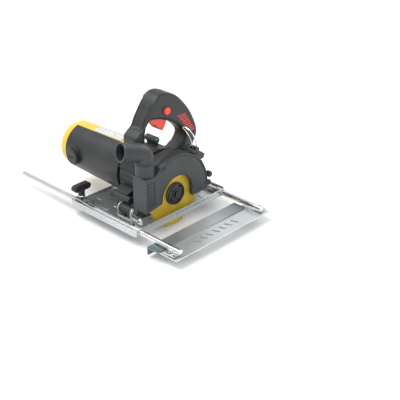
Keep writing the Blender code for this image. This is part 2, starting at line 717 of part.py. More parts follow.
def make_dust_elbow():
    pivot = (*PIPE_XY, SWIVEL_Z)
    path, along = elbow_path()
    last = len(path) - 1
    radii = [PIPE_R - (PIPE_R - MOUTH_R) * i / last for i in range(last + 1)]
    elbow = add("dust_elbow", tube(path, radii, 28), "guard_plastic", pivot)
    core_path = [path[0] - Vector((0, 0, 4))] + path[1:-1] + [path[-1] + along * 5]
    core_radii = [r - PIPE_WALL for r in radii]
    cut(elbow, add("elbow_core", tube(core_path, core_radii, 28), None, pivot))


def make_latch():
    """A block on the guard's rim that carries the wire bail, which leans on the handle's side."""
    x, y, z = BAIL_AT
    inner = arc(GUARD_R + 1.2, 30, 43, 4)
    post = [(y - 4.5, 68.5), (y - 4.5, z + 4), (y + 4.5, z + 4), (y + 4.5, 68.5)]
    outer = [(68, 66), *post, (90, 64), (99, 56), (95, 48)]
    block = add("latch_block", prism(inner + outer, "X", -24, -4), "guard_plastic")
    cut(block, add("bail_hole", cylinder("Y", (x, z), BAIL_WIRE_R + GAP, 60, 90, 12)))
    path = [(0, -3.0, 0), (0, -0.9 * BAIL_HALF, 0)]
    path += [(u, -half, w) for u, w, half in BAIL_LEG]
    u, w, half = BAIL_LEG[-1]
    for step in range(1, 6):
        angle = math.pi * step / 6
        path.append((u - half * math.sin(angle), -half * math.cos(angle), w + 0.25 * half * math.sin(angle)))
    path += [(u, half, w) for u, w, half in reversed(BAIL_LEG)]
    path += [(0, 0.9 * BAIL_HALF, 0), (0, 3.0, 0)]
    points = [Vector(BAIL_AT) + Vector(p) for p in path]
    add("wire_bail", tube(points, [BAIL_WIRE_R] * len(points), 8), "bright_steel", BAIL_AT)


def smooth(points, steps=3):
    """An open curve through all the points."""
    count = len(points)
    result = []
    for i in range(count - 1):
        before, start, end, after = (
            Vector(points[k]) for k in (max(i - 1, 0), i, i + 1, min(i + 2, count - 1))
        )
        for step in range(steps):
            t = step / steps
            bend = (2 * before - 5 * start + 4 * end - after) * t * t
            twist = (3 * start - before - 3 * end + after) * t * t * t
            point = (2 * start + (end - before) * t + bend + twist) / 2
            result.append(tuple(point))
    return result + [tuple(points[-1])]


def handle_outline():
    return smooth(HANDLE_OUTER) + [HANDLE_INNER[0], *smooth(HANDLE_INNER[1:-1]), HANDLE_INNER[-1]]


def vent_slots(margin, x0, x1, word):
    """The slanted stack of louvres, each a short bar along Y."""
    bars = []
    for i in range(VENT_COUNT):
        y0, y1, z = (start + i * step for start, step in zip(VENT_TOP, VENT_STEP))
        half = VENT_HEIGHT / 2 + margin
        low, high = (y0 - margin, z - half), (y1 + margin, z + half)
        bars.append(add(f"vent_{word}_{i}", prism(rounded_rectangle(low, high, 1.2, 1), "X", x0, x1)))
    return bars


def make_handle():
    outline = handle_outline()
    left_x, right_x = HANDLE_X - HANDLE_HALF_T, HANDLE_X + HANDLE_HALF_T
    left_half = rounded_slab(outline, "X", HANDLE_X - GAP / 2, left_x, HANDLE_ROUND)
    right_half = rounded_slab(outline, "X", HANDLE_X + GAP / 2, right_x, HANDLE_ROUND)
    left = add("handle_left", left_half, "black_plastic")
    right = add("handle_right", right_half, "black_plastic")
    pocket = [
        (-13, 153), (-15, 168), (12, 188), (30, 194), (58, 181), (82, 164), (98, 142), (111, 116),
        (118, 93), (97, 91), (86, 110), (58, 134), (26, 150),
    ]
    well = [(-13, 160), (-13, 138), (12, 122), (41.5, 122), (41.5, 150), (26, 158)]
    for half, word in ((left, "left"), (right, "right")):
        sign = -1 if word == "left" else 1
        low, high = sorted((HANDLE_X - sign, HANDLE_X + sign * 14))
        cut(half, add(f"handle_pocket_{word}", prism(pocket, "X", low, high)))
        low, high = sorted((HANDLE_X - sign, HANDLE_X + sign * (TRIGGER_HALF_T + 0.5)))
        cut(half, add(f"trigger_well_{word}", prism(well, "X", low, high)))
    pin = cylinder("X", TRIGGER_PIVOT, 1.5, left_x + 5, HANDLE_X + TRIGGER_HALF_T, 12)
    fuse(left, add("trigger_pin", pin))
    cut(
        right,
        add("button_bore", cylinder("X", BUTTON_AT, BUTTON_STEM_R + GAP, HANDLE_X + 8, right_x + 4, 20)),
        add("button_seat", cylinder("X", BUTTON_AT, BUTTON_R + GAP, right_x - 3.4, right_x + 4, 24)),
    )
    cut(right, *vent_slots(GAP, HANDLE_X + 10, right_x + 4, "slot"))
    insert_outline = [(62, 142), (90, 142), (113.5, 94.5), (99, 94.5)]
    insert = add("vent_insert", prism(insert_outline, "X", right_x - 8.4, right_x - 6.4), "red_plastic")
    fuse(insert, *vent_slots(0, right_x - 7.4, right_x - 0.6, "bar"))


def make_switch_gear():
    pivot = (HANDLE_X, *TRIGGER_PIVOT)
    body = prism(TRIGGER_OUTLINE, "X", HANDLE_X - TRIGGER_HALF_T, HANDLE_X + TRIGGER_HALF_T)
    trigger = add("trigger", body, "red_plastic", pivot)
    hole = cylinder("X", TRIGGER_PIVOT, 1.5 + GAP, HANDLE_X - 15, HANDLE_X + 15, 12)
    cut(trigger, add("trigger_bore", hole, None, pivot))
    add("switch_block", box((HANDLE_X - 9, 4, 163.4), (HANDLE_X + 4, 44, 177)), "soft_black")
    face = HANDLE_X + HANDLE_HALF_T
    proud = face + BUTTON_PROUD
    profile = (
        (face - 9, 0), (face - 9, BUTTON_STEM_R), (face - 0.1, BUTTON_STEM_R), (face - 0.1, BUTTON_R),
        (proud - 1.6, BUTTON_R), (proud, BUTTON_R - 2.0), (proud, 0),
    )
    add("lock_button", turned("X", BUTTON_AT, profile, 24), "red_plastic", (face, *BUTTON_AT))
    left = HANDLE_X - HANDLE_HALF_T
    profile = ((left - GAP, 4.0), (left - GAP, 9.0), (left - 5, 9.0), (left - 9, 7.0), (left - 9, 4.0))
    add("cord_gland", turned("X", (104, 96), profile, 20), "soft_black")


def make_tie_screw():
    """The bright screw in the boss on top of the case, under the handle's arch."""
    profile = ((-88, 0), (-88, 2.2), (-71.7, 2.2), (-71.7, 3.8), (-69.6, 3.2), (-69.6, 0))
    add("tie_screw", turned("X", TIE_AT, profile, 14), "bright_steel")


def make_hinge():
    left_ear = [(-102.3, -50.7), (-77, -50.7)] + arc(EAR_R[0], 0, 180, 12, HINGE)
    right_ear = [(-102.3, -50.7), (-97.8, -50.7), (-95.5, -46), (-83, -30)]
    right_ear += arc(EAR_R[1], 0, 180, 12, HINGE)
    base = box((EAR_X[0], -102.5, -50.7), (-35, -76, -48.5))
    bracket = add("hinge_bracket", base, "zinc_steel")
    fuse(
        bracket,
        add("ear_left", prism(left_ear, "X", EAR_X[0], EAR_X[0] + EAR_T)),
        add("ear_right", prism(right_ear, "X", EAR_X[1] - EAR_T, EAR_X[1])),
        add("ear_tie", box((EAR_X[0] + 1, -102.3, -42), (EAR_X[1] - 1, -100.6, -34))),
        add("ear_foot", box((-37, -102.5, -50.7), (EAR_X[1], -97.6, -48.5))),
    )
    cut(bracket, add("ear_bores", cylinder("X", HINGE, PIN_R + GAP, -95, -10, 20)))
    x0, x1 = EAR_X[0] - 3, EAR_X[1] + 3
    head = 3 - GAP
    profile = (
        (x0, 0), (x0, 6.5), (x0 + head, 6.5), (x0 + head, PIN_R), (x1 - head, PIN_R), (x1 - head, 6.5),
        (x1, 6.5), (x1, 0),
    )
    add("hinge_pin", turned("X", HINGE, profile, 20), "bright_steel")


def make_duct_bracket():
    """A bent strip under the duct's front corner, with its screw head."""
    plate = [(-23, -50.7), (-14, -50.7), (-14, -38), (7, -38), (7, -20), (-23, -20)]
    bracket = add("duct_bracket", prism(plate, "Y", -99.4, -97.8), "bright_steel")
    head = ((-99, 0), (-99, 4.4), (-102.4, 3.6), (-102.4, 0))
    fuse(
        bracket,
        add("bracket_foot", box((-23, -103, -50.7), (-14, -97.9, -49.1))),
        add("bracket_screw", turned("Y", (0, -29), head, 16)),
    )


def make_depth_lock():
    """An arc plate on the shoe, centred on the hinge, with the knob whose stud runs in its slot."""
    radius = math.dist(HINGE, LOCK_AT)
    rest = math.degrees(math.atan2(LOCK_AT[1] - HINGE[1], LOCK_AT[0] - HINGE[0]))
    low, high = rest + QUADRANT_SWEEP[0], rest + QUADRANT_SWEEP[1]
    foot_z = SOLE_Z + SHEET + GAP
    outer = arc(radius + 8, low - 5, high + 3, 12, HINGE)
    inner = arc(radius - 8, high + 3, low - 2, 12, HINGE)
    outline = [(outer[0][0], foot_z)] + outer + inner + [(inner[-1][0], foot_z)]
    plate = add("depth_quadrant", prism(outline, "X", *QUADRANT_X), "zinc_steel")
    slot = arc(radius + 3.6, low, high, 12, HINGE) + arc(radius - 3.6, high, low, 12, HINGE)
    cut(plate, add("quadrant_slot", prism(slot, "X", -40, -28)))
    foot = box((QUADRANT_X[0] - 16, outline[-1][0], foot_z), (QUADRANT_X[0] + 1, outer[0][0], foot_z + 2))
    fuse(plate, add("quadrant_foot", foot))
    pivot = (QUADRANT_X[1], *LOCK_AT)
    x = QUADRANT_X[1] + GAP
    low, high = KNOB_X
    profile = (
        (x, 0), (x, 6.5), (x + 2, 6.5), (x + 2, 3.8), (low, 3.8), (low + 1.5, 6.8), (high - 2, 6.8),
        (high, 5.2), (high, 0),
    )
    knob = add("depth_lock_knob", turned("X", LOCK_AT, profile, 20), "soft_black", pivot)
    fuse(knob, add("lock_stud", cylinder("X", LOCK_AT, 3.0, -54, x + 4, 16), None, pivot))


def make_shoe():
    """A pressed tray with turned-up rims, slotted for the blade and notched where the rods pass."""
    x0, x1 = SHOE_X
    y0, y1 = SHOE_Y
    outline = rounded_rectangle((x0, y0), (x1, y1), SHOE_CORNER, 3)
    shoe = add("base_shoe", prism(outline, "Z", SOLE_Z, SOLE_Z + RIM_H), "zinc_steel")
    inner = rounded_rectangle((x0 + SHEET, y0 + SHEET), (x1 - SHEET, y1 - SHEET), SHOE_CORNER - SHEET, 3)
    floor = SOLE_Z + SHEET
    slot = rounded_rectangle((SLOT_X[0], SLOT_Y[0]), (SLOT_X[1], SLOT_Y[1]), 4, 2)
    cut(
        shoe,
        add("tray_hollow", prism(inner, "Z", floor, floor + 40)),
        add("left_rim_low", box((x0 - 5, y0 + 26, SOLE_Z + LIP_H), (x0 + 12, y1 - 26, 0))),
        add("blade_slot", prism(slot, "Z", -60, -45)),
    )
    for i, y in enumerate(ROD_Y):
        cut(shoe, add(f"rod_notch_left_{i}", box((x0 - 5, y - 8, floor), (x0 + 10, y + 8, 0))))
        cut(shoe, add(f"rod_notch_right_{i}", box((x1 - 5, y - 9, floor), (x1 + 5, y + 9, 0))))
    pad = prism(rounded_rectangle((-160, -88), (-114, -66), 8, 3), "Z", SOLE_Z + 1, SOLE_Z + SHEET + 2.0)
    fuse(shoe, add("number_pad", pad))
    rib = prism(rounded_rectangle((-150, 40), (-70, 60), 8, 3), "Z", SOLE_Z + 1, SOLE_Z + SHEET + 2.0)
    fuse(shoe, add("stiffening_rib", rib))


def make_rod_supports():
    floor = SOLE_Z + SHEET + GAP
    for y, word in zip(ROD_Y, ("near", "far")):
        top = ROD_Z + 12
        block = box((CLAMP_X[0], y - 9.5, floor), (CLAMP_X[1], y + 9.5, top))
        clamp = add(f"rod_clamp_{word}", block, "zinc_steel")
        middle = sum(CLAMP_X) / 2
        cut(
            clamp,
            add(f"clamp_bore_{word}", cylinder("X", (y, ROD_Z), ROD_R + GAP, -200, -140, 24)),
            add(f"clamp_thread_{word}", cylinder("Z", (middle, y), 3.0 + GAP, ROD_Z, 0, 16)),
        )
        collar = arc(8.4, -42.5, 222.5, 18, (y, ROD_Z))
        guide = add(f"rod_guide_{word}", prism(collar, "X", *GUIDE_X), "zinc_steel")
        cut(guide, add(f"guide_bore_{word}", cylinder("X", (y, ROD_Z), ROD_R + GAP, -5, 20, 24)))


def make_clamp_knobs():
    """A T-bar grip on a threaded stud that presses on the rod."""
    middle = sum(CLAMP_X) / 2
    for y, word in zip(ROD_Y, ("near", "far")):
        low = ROD_Z + ROD_R + GAP
        pivot = (middle, y, low)
        knob_z = ROD_Z + 26
        bar = rounded_rectangle((y - KNOB_HALF, knob_z + 6), (y + KNOB_HALF, knob_z + 20), 6.5, 3)
        knob = add(f"clamp_knob_{word}", prism(bar, "X", middle - 6.5, middle + 6.5), "soft_black", pivot)
        stem = ((knob_z, 0), (knob_z, 7), (knob_z + 8, 9), (knob_z + 12, 5), (knob_z + 12, 0))
        collar = ((ROD_Z + 18, 0), (ROD_Z + 18, 6.5), (knob_z + 1, 6.5), (knob_z + 1, 0))
        fuse(
            knob,
            add(f"knob_stem_{word}", turned("Z", (middle, y), stem, 20), None, pivot),
            add(f"knob_collar_{word}", turned("Z", (middle, y), collar, 20), None, pivot),
            add(f"knob_stud_{word}", cylinder("Z", (middle, y), 3.0, low, ROD_Z + 20, 16), None, pivot),
        )


def make_fence():
    for y, word, out in zip(ROD_Y, ("near", "far"), (-1, 1)):
        rod = cylinder("X", (y, ROD_Z), ROD_R, *ROD_X, 24)
        guide_rod = add(f"guide_rod_{word}", rod, "bright_steel")
        z = ROD_Z - ROD_R
        low, high = sorted((y, y + out * 17))
        fuse(guide_rod, add(f"rod_tab_{word}", box((104, low, z), (127, high, z + 2.4))))
        at = (116, y + out * 12)
        cut(guide_rod, add(f"tab_hole_{word}", cylinder("Z", at, 2.3, z - 3, z + 5, 12)))
        head = ((z + 2.4 + GAP, 0), (z + 2.4 + GAP, 4.6), (z + 4.8, 3.4), (z + 4.8, 0))
        screw = add(f"fence_screw_{word}", turned("Z", at, head, 16), "bright_steel")
        fuse(screw, add(f"fence_shank_{word}", cylinder("Z", at, 2.0, z - 6, z + 3.4, 12)))
    top = ROD_Z - ROD_R - GAP
    x0, x1 = FENCE_X
    flange = [
        (x0, top), (x0, top - FENCE_FLANGE_H), (x0 + FENCE_T, top - FENCE_FLANGE_H),
        (x0 + FENCE_T, top - FENCE_T), (x0 + FENCE_ANGLE_W, top - FENCE_T), (x0 + FENCE_ANGLE_W, top),
    ]
    add("fence_angle", prism(flange, "Y", *ANGLE_Y), "zinc_steel")
    plate_x0 = x0 + FENCE_ANGLE_W + GAP
    low = top - 2 * FENCE_T - GAP
    sheet = box((plate_x0 - 16, PLATE_Y[0], low), (x1, PLATE_Y[1], top - FENCE_T - GAP))
    plate = add("fence_plate", sheet, "zinc_steel")
    for i in range(7):
        y = -52 + 19 * i
        slot = [(102, y), (119, y + 7), (119, y + 13), (102, y + 6)]
        cut(plate, add(f"plate_slot_{i}", prism(slot, "Z", top - 8, top + 3)))
    for y, word, out in zip(ROD_Y, ("near", "far"), (-1, 1)):
        at = (116, y + out * 12)
        cut(plate, add(f"plate_hole_{word}", cylinder("Z", at, 2.3, top - 8, top + 3, 12)))


def main():
    clear_scene()
    make_shoe()
    make_hinge()
    make_duct_bracket()
    make_depth_lock()
    make_rod_supports()
    make_clamp_knobs()
    make_fence()
    make_motor_housing()
    make_side_cover()
    make_label()
    make_brushes()
    make_stator()
    make_bearings()
    make_gearbox()
    make_guard()
    make_dust_spigot()
    make_dust_elbow()
    make_latch()
    make_handle()
    make_switch_gear()
    make_tie_screw()
    make_armature()
    make_spindle()
    make_blade()


main()
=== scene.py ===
"""The wall chaser's looks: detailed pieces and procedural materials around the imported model."""

import json
import math

import bmesh
import bpy
from mathutils import Matrix, Vector


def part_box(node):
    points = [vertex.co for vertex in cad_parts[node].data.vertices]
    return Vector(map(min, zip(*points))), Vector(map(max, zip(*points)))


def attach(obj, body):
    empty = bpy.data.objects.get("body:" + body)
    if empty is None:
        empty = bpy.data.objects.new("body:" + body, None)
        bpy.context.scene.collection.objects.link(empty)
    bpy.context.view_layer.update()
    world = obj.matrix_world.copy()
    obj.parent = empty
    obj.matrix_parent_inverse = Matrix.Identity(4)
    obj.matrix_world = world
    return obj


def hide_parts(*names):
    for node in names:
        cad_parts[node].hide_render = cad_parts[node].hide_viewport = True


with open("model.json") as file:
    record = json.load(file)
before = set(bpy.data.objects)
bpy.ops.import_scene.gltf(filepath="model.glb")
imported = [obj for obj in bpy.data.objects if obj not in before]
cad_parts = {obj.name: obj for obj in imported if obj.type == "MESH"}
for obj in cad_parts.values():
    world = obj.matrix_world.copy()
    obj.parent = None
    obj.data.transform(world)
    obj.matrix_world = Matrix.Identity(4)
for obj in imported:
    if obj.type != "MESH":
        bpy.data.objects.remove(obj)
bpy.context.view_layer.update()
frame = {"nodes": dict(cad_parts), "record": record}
NODES = frame["nodes"]

MM = 0.001
CENTRE = (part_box("blade")[0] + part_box("blade")[1]) / 2

# Places that several details share, in millimetres from the blade's centre: (y, z) across X, (x, y) across Z.
MOTOR_AXIS = (0, 22)
HINGE_AXIS = (-90, -22.5)
SPRING_TUBE = (-80, -6)
TIE_SCREW = (24, 90)
GUARD_SCREWS = ((-38, 74), (56, 76.5), (94.5, -5))
HANDLE_SCREWS = ((8, 190.4), (104, 130), (-47, 112), (112, 78))
CASE_SCREWS_R = 54.5
CASE_SCREW_ANGLES = (40, 140, 205, 335)
MOTOR_END_X = -316.0
BRUSH_CAP_X = -257.0
BRUSH_CAP_Y = 61.0
PIPE = (-10.5, -70.5)
ELBOW_CENTRE_Z = 96.8
ELBOW_BEND_R = 20.5
OUTLET_REACH = 41.0
OUTLET_AZIMUTH = math.radians(256.5)
OUTLET_TILT = math.radians(15.0)
SHOE_RIGHT_X = 14.0
SHOE_Y = (-124.0, 148.0)
BEAD_ROOT_Z = -51.5
RIM_Z = -38.2
ROD_Y = {"near": -110.0, "far": 136.0}
ROD_Z = -45.0
KNOB_X = -172.0

CAMERA_AT = (1204.21, -1178.06, 874.08)
CAMERA_AZIMUTH = math.radians(43.75)
CAMERA_ELEVATION = math.radians(27.9)
CAMERA_LENS = 81.0
LIGHT_TARGET = (0.0, 0.0, 0.08)


def at(x, y, z):
    """A point given in millimetres from the blade's centre, in the row frame."""
    return CENTRE + Vector((x, y, z)) * MM


# ---------------------------------------------------------------- materials


class Tree:
    """A material's nodes, made and linked in short calls."""

    def __init__(self, name):
        self.material = bpy.data.materials.new(name)
        self.material.use_nodes = True
        self.nodes = self.material.node_tree.nodes
        self.links = self.material.node_tree.links
        self.shader = self.nodes["Principled BSDF"]
        self.coords = self.nodes.new("ShaderNodeTexCoord").outputs["Object"]

    def put(self, socket, value):
        if isinstance(value, bpy.types.NodeSocket):
            self.links.new(value, socket)
        elif value is not None:
            if socket.type == "RGBA" and len(value) == 3:
                value = (*value, 1.0)
            socket.default_value = value

    def node(self, kind, settings=None, **inputs):
        made = self.nodes.new("ShaderNode" + kind)
        for key, value in (settings or {}).items():
            setattr(made, key, value)
        for key, value in inputs.items():
            self.put(made.inputs[key.replace("_", " ")], value)
        return made

    def math(self, operation, first, second=0.0, clamp=False):
        made = self.nodes.new("ShaderNodeMath")
        made.operation = operation
        made.use_clamp = clamp
        self.put(made.inputs[0], first)
        self.put(made.inputs[1], second)
        return made.outputs[0]

    def weighted(self, first, first_share, second, second_share):
        """The sum of two values, each times its share."""
        return self.math(
            "ADD", self.math("MULTIPLY", first, first_share), self.math("MULTIPLY", second, second_share)
        )

    def stretched(self, scale):
        """The object's coordinates, scaled along each axis."""
        made = self.node("Mapping", Vector=self.coords)
        made.inputs["Scale"].default_value = scale
        return made.outputs["Vector"]

    def noise(self, scale, detail=3.0, vector=None, roughness=0.55):
        place = vector or self.coords
        made = self.node("TexNoise", Scale=scale, Detail=detail, Roughness=roughness, Vector=place)
        return made.outputs["Fac"]

    def ramp(self, value, low, high, out_low=0.0, out_high=1.0):
        made = self.nodes.new("ShaderNodeMapRange")
        for i, v in enumerate((value, low, high, out_low, out_high)):
            self.put(made.inputs[i], v)
        return made.outputs[0]

    def mix(self, share, first, second):
        made = self.nodes.new("ShaderNodeMix")
        made.data_type = "RGBA"
        self.put(made.inputs["Factor"], share)
        self.put(made.inputs[6], first)
        self.put(made.inputs[7], second)
        return made.outputs[2]

    def bump(self, height, distance, strength=1.0, normal=None):
        made = self.node("Bump", Height=height, Distance=distance, Strength=strength)
        if normal is not None:
            self.put(made.inputs["Normal"], normal)
        return made.outputs["Normal"]

    def edges(self, radius, low=0.02, high=0.25):
        """1 along the convex and concave edges, from the difference a rounded normal makes."""
        rounded = self.node("Bevel", {"samples": 4}, Radius=radius).outputs["Normal"]
        sharp = self.node("NewGeometry").outputs["Normal"]
        made = self.nodes.new("ShaderNodeVectorMath")
        made.operation = "DOT_PRODUCT"
        self.put(made.inputs[0], rounded)
        self.put(made.inputs[1], sharp)
        return self.ramp(self.math("SUBTRACT", 1.0, made.outputs["Value"]), low, high)

    def surface(self, **inputs):
        for key, value in inputs.items():
            self.put(self.shader.inputs[key.replace("_", " ")], value)
        return self.material


def moulded(name, dark, light, rough=(0.42, 0.58)):
    """A moulded plastic: fine grain, cloudy colour, lighter edges that are partly rubbed wear and partly a
    painted highlight, and faint dust.
    """
    t = Tree(name)
    cloud = t.noise(14.0, 4.0)
    speck = t.noise(240.0, 2.0)
    colour = t.mix(t.ramp(cloud, 0.35, 0.65), dark, light)
    colour = t.mix(t.ramp(speck, 0.60, 0.78, 0.0, 0.30), colour, [min(1.0, c * 1.5 + 0.01) for c in light])
    # Lighter edges: partly rubbed wear, partly a painted highlight along convex and concave edges.
    wear_and_highlight = t.math("MULTIPLY", t.edges(0.0012), t.ramp(t.noise(70.0, 4.0), 0.45, 0.65, 0.1, 0.35))
    colour = t.mix(wear_and_highlight, colour, [min(1.0, c * 2.0 + 0.035) for c in light])
    uneven = t.ramp(t.weighted(cloud, 0.5, speck, 0.5), 0.35, 0.65, *rough)
    normal = t.bump(t.noise(1500.0, 2.0), 0.00005, 0.8)
    normal = t.bump(t.noise(60.0, 2.0), 0.00008, 0.5, normal)
    return t.surface(Base_Color=colour, Roughness=uneven, Normal=normal, Specular_IOR_Level=0.5)


def zinc(name, base=(0.55, 0.58, 0.59), rough=(0.22, 0.32), spangle=0.03, ends=None):
    """Galvanised sheet: pale spangle, rolling lines, dull patches and bright edges, partly rubbed wear and
    partly a painted highlight.

    ends, if given, is (middle y, start, finish) in metres: the sheet darkens away from its middle.
    """
    t = Tree(name)
    cells = t.node("TexVoronoi", {"feature": "F1"}, Scale=190.0, Vector=t.coords).outputs["Color"]
    grey = t.node("RGBToBW", Color=cells).outputs["Val"]
    cloud = t.noise(9.0, 4.0)
    lines = t.noise(1.0, 3.0, t.stretched((25.0, 320.0, 320.0)))
    shade = t.weighted(grey, spangle, cloud, 0.35)
    dark = [c * 0.94 for c in base]
    light = [min(1.0, c * 1.08) for c in base]
    colour = t.mix(t.ramp(shade, 0.10, 0.34), dark, light)
    # Bright edges: partly rubbed wear, partly a painted highlight along convex and concave edges.
    wear_and_highlight = t.math("MULTIPLY", t.edges(0.0008), t.ramp(t.noise(90.0), 0.4, 0.6))
    colour = t.mix(t.math("MULTIPLY", wear_and_highlight, 0.6), colour, (0.90, 0.91, 0.92))
    mottled = t.weighted(lines, 0.5, cloud, 0.5)
    if ends:
        middle, start, finish = ends
        y = t.node("SeparateXYZ", Vector=t.coords).outputs["Y"]
        away = t.math("ABSOLUTE", t.math("SUBTRACT", y, middle))
        shadowed = t.ramp(t.math("ADD", away, t.math("MULTIPLY", t.noise(30.0), 0.02)), start, finish)
        colour = t.mix(t.math("MULTIPLY", shadowed, 0.8), colour, (0.17, 0.22, 0.225))
    normal = t.bump(lines, 0.00001, 0.25)
    normal = t.bump(cloud, 0.0003, 0.06, normal)
    return t.surface(
        Base_Color=colour, Metallic=0.86, Roughness=t.ramp(mottled, 0.35, 0.65, *rough), Normal=normal
    )


def steel(name, base, rough=(0.10, 0.22), stretch=(30.0, 700.0, 700.0), spots=0.0):
    """Turned or ground steel with lines along or round it and, if asked, oxide spots."""
    t = Tree(name)
    lines = t.noise(1.0, 3.0, t.stretched(stretch))
    cloud = t.noise(35.0, 4.0)
    colour = t.mix(t.ramp(lines, 0.3, 0.7), [c * 0.86 for c in base], base)
    if spots:
        spotted = t.math("MULTIPLY", t.ramp(t.noise(420.0, 3.0), 0.62, 0.74), spots)
        colour = t.mix(spotted, colour, (0.16, 0.11, 0.08))
    uneven = t.ramp(t.weighted(lines, 0.6, cloud, 0.4), 0.35, 0.65, *rough)
    normal = t.bump(lines, 0.00003, 0.4)
    return t.surface(Base_Color=colour, Metallic=1.0, Roughness=uneven, Normal=normal)


def gloss(name, dark, light):
    """Coloured satin plastic with faint flow marks, scuffs and softly lighter edges, partly rubbed wear and
    partly a painted highlight.
    """
    t = Tree(name)
    cloud = t.noise(18.0, 4.0)
    scuff = t.noise(1.0, 4.0, t.stretched((220.0, 60.0, 90.0)))
    colour = t.mix(t.ramp(cloud, 0.35, 0.65), dark, light)
    colour = t.mix(t.ramp(scuff, 0.64, 0.74, 0.0, 0.20), colour, [c * 0.72 for c in dark])
    # Lighter edges: partly rubbed wear, partly a painted highlight along convex and concave edges.
    wear_and_highlight = t.math("MULTIPLY", t.edges(0.0010), 0.22)
    colour = t.mix(wear_and_highlight, colour, [min(1.0, c * 1.25 + 0.05) for c in light])
    uneven = t.ramp(t.weighted(cloud, 0.5, scuff, 0.5), 0.35, 0.65, 0.24, 0.38)
    normal = t.bump(t.noise(900.0, 2.0), 0.00003, 0.5)
    return t.surface(Base_Color=colour, Roughness=uneven, Normal=normal, Specular_IOR_Level=0.5)


def radial(t):
    """Distance from the blade's axis, in metres."""
    split = t.node("SeparateXYZ", Vector=t.coords)
    y = t.math("SUBTRACT", split.outputs["Y"], CENTRE.y)
    z = t.math("SUBTRACT", split.outputs["Z"], CENTRE.z)
    return t.math("SQRT", t.math("ADD", t.math("MULTIPLY", y, y), t.math("MULTIPLY", z, z)))


def blade_coat():
    """Yellow lacquer over steel, worn through at the teeth, with turning marks and dust."""
    t = Tree("blade_coat")
    radius = radial(t)
    rings = t.math("SINE", t.math("MULTIPLY", radius, 5200.0))
    cloud = t.noise(26.0, 4.0)
    colour = t.mix(t.ramp(cloud, 0.35, 0.65), (0.50, 0.34, 0.028), (0.66, 0.47, 0.045))
    colour = t.mix(t.ramp(t.noise(300.0, 3.0), 0.60, 0.75, 0.0, 0.35), colour, (0.33, 0.23, 0.03))
    bare = t.math("MULTIPLY", t.ramp(radius, 0.0715, 0.0750), t.ramp(t.noise(260.0, 3.0), 0.42, 0.60), True)
    colour = t.mix(t.math("MULTIPLY", bare, 0.55), colour, (0.55, 0.52, 0.42))
    uneven = t.ramp(t.weighted(cloud, 0.7, rings, 0.06), 0.25, 0.45, 0.26, 0.42)
    normal = t.bump(rings, 0.00001, 0.5)
    return t.surface(Base_Color=colour, Metallic=0.25, Roughness=uneven, Normal=normal)


def label_print():
    """A pale foil label printed with rows of plain dashes and blocks in place of words."""
    t = Tree("label_print")
    split = t.node("SeparateXYZ", Vector=t.coords)
    x = t.math("SUBTRACT", split.outputs["X"], CENTRE.x)
    from_axis_y = t.math("SUBTRACT", split.outputs["Y"], CENTRE.y)
    from_axis_z = t.math("SUBTRACT", split.outputs["Z"], CENTRE.z + 0.022)
    turn = t.math("MULTIPLY", t.math("ARCTAN2", from_axis_z, from_axis_y), 0.052)
    flat = t.node("CombineXYZ", X=x, Y=turn).outputs["Vector"]
    layout = {"offset": 0.37, "offset_frequency": 3, "squash": 0.6, "squash_frequency": 2}
    dashes = t.node(
        "TexBrick", layout, Vector=flat, Scale=1.0, Color1=(0, 0, 0), Color2=(0, 0, 0), Mortar=(1, 1, 1),
        Mortar_Size=0.0012, Brick_Width=0.0085, Row_Height=0.0062,
    )
    print_here = t.math("SUBTRACT", 1.0, dashes.outputs["Fac"])
    faded = t.ramp(t.noise(900.0, 2.0), 0.42, 0.60, 0.25, 1.0)
    ink = t.math("MULTIPLY", t.math("MULTIPLY", print_here, faded), 0.92)
    foil = t.mix(t.ramp(t.noise(45.0, 3.0), 0.35, 0.65), (0.66, 0.67, 0.66), (0.78, 0.79, 0.78))
    colour = t.mix(ink, foil, (0.09, 0.09, 0.10))
    normal = t.bump(t.noise(500.0, 2.0), 0.00002, 0.5)
    return t.surface(Base_Color=colour, Roughness=t.ramp(t.noise(80.0), 0.3, 0.7, 0.32, 0.46), Normal=normal)


def floor_material():
    """A matt, nearly even pale grey."""
    t = Tree("studio_floor")
    cloud = t.noise(2.0, 3.0)
    colour = t.mix(cloud, (0.90, 0.90, 0.90), (0.93, 0.93, 0.93))
    return t.surface(Base_Color=colour, Roughness=t.ramp(cloud, 0.3, 0.7, 0.55, 0.65), Specular_IOR_Level=0.2)


BLACK = moulded("black_nylon", (0.015, 0.0165, 0.0175), (0.025, 0.0275, 0.029), (0.34, 0.50))
GUARD = moulded("guard_nylon", (0.022, 0.027, 0.029), (0.036, 0.043, 0.046), (0.30, 0.44))
SOFT = moulded("knob_plastic", (0.010, 0.010, 0.011), (0.018, 0.018, 0.020), (0.42, 0.58))
YELLOW = gloss("yellow_plastic", (0.66, 0.46, 0.045), (0.76, 0.55, 0.075))
RED = gloss("red_plastic", (0.86, 0.060, 0.030), (0.95, 0.090, 0.048))
ZINC = zinc("zinc_sheet")
PLATE_ZINC = zinc("plate_zinc", (0.68, 0.72, 0.73), (0.30, 0.42), 0.02)
ANGLE_ZINC = zinc("angle_zinc", (0.52, 0.56, 0.57), (0.36, 0.48), 0.02, (CENTRE.y, 0.045, 0.125))
BRIGHT = steel("bright_steel", (0.82, 0.82, 0.82))
WIRE = steel("wire_steel", (0.85, 0.85, 0.84), (0.14, 0.26), (500.0, 500.0, 500.0))
CAST = zinc("cast_alloy", (0.55, 0.55, 0.56), (0.38, 0.55), 0.03)
DARK = steel("black_steel", (0.085, 0.085, 0.090), (0.30, 0.46), (400.0, 400.0, 400.0), 0.3)
LAMINATION = steel("lamination", (0.33, 0.31, 0.30), (0.35, 0.5), (1600.0, 40.0, 40.0), 0.2)
COPPER = steel("copper_bars", (0.72, 0.36, 0.20), (0.20, 0.36), (900.0, 60.0, 60.0))
CARBON = moulded("carbon", (0.012, 0.012, 0.012), (0.03, 0.03, 0.03), (0.55, 0.75))
BLADE_COAT = blade_coat()
LABEL = label_print()

